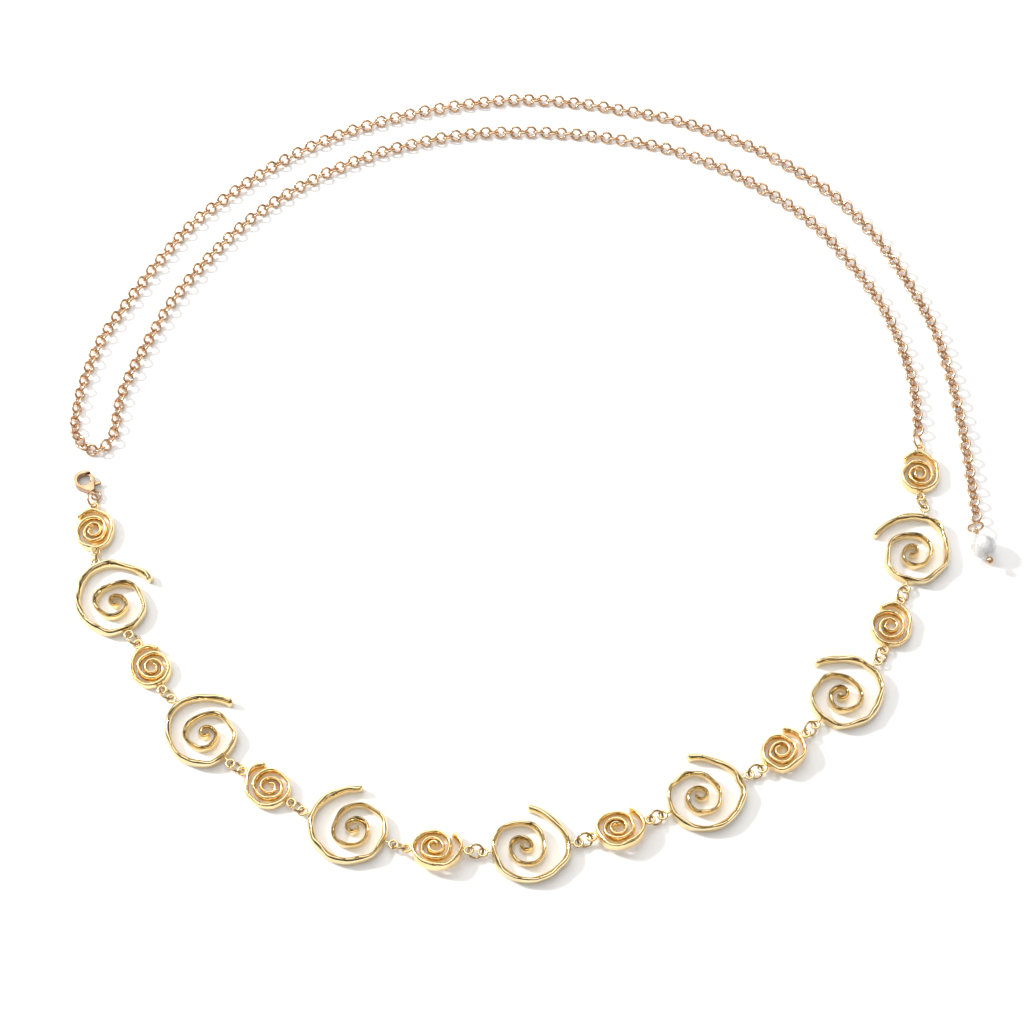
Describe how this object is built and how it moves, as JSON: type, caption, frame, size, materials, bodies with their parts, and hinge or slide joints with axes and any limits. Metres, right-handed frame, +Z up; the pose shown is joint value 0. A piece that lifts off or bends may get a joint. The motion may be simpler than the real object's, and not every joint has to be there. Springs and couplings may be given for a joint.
{
  "type": "waist chain",
  "caption": "Gold waist chain of cast spirals joined by jump rings, with a lobster clasp, a long rolo chain and a pearl drop.",
  "frame": {"origin": "centre of the bounding box's bottom, on the surface that the chain lies on", "axes": "+X to the right of the picture, +Y away from the viewer, +Z up"},
  "size_m": [0.3246, 0.3133, 0.009],
  "materials": {
    "gold": "polished pale yellow gold plating",
    "rose_gold": "polished rosy gold plating",
    "pearl": "uneven white pearl lustre"
  },
  "bodies": {
    "chain": {"clasp_body": "rose_gold", "clasp_ring": "rose_gold", "spiral_small_1": "gold", "spiral_small_2": "gold", "spiral_small_3": "gold", "spiral_small_4": "gold", "spiral_small_5": "gold", "spiral_small_6": "gold", "spiral_small_7": "gold", "spiral_small_8": "gold", "spiral_large_1": "gold", "spiral_large_2": "gold", "spiral_large_3": "gold", "spiral_large_4": "gold", "spiral_large_5": "gold", "spiral_large_6": "gold", "spiral_large_7": "gold", "link_ring_1": "gold", "link_ring_2": "gold", "link_ring_3": "gold", "link_ring_4": "gold", "link_ring_5": "gold", "link_ring_6": "gold", "link_ring_7": "gold", "link_ring_8": "gold", "link_ring_9": "gold", "link_ring_10": "gold", "link_ring_11": "gold", "link_ring_12": "gold", "link_ring_13": "gold", "link_ring_14": "gold", "start_ring": "rose_gold", "chain_inner": "rose_gold", "chain_outer": "rose_gold", "end_ring": "rose_gold", "head_pin": "rose_gold", "pearl": "pearl"},
    "lever": {"clasp_lever": "rose_gold"}
  },
  "joints": [
    {"name": "lever_hinge", "type": "hinge", "parent": "chain", "child": "lever", "pos_m": [-0.15238, -0.01186, 0.0015], "axis": [0, 0, 1], "range_deg": [0, 20], "stiffness_Nm_per_rad": 0.01}
  ]
}
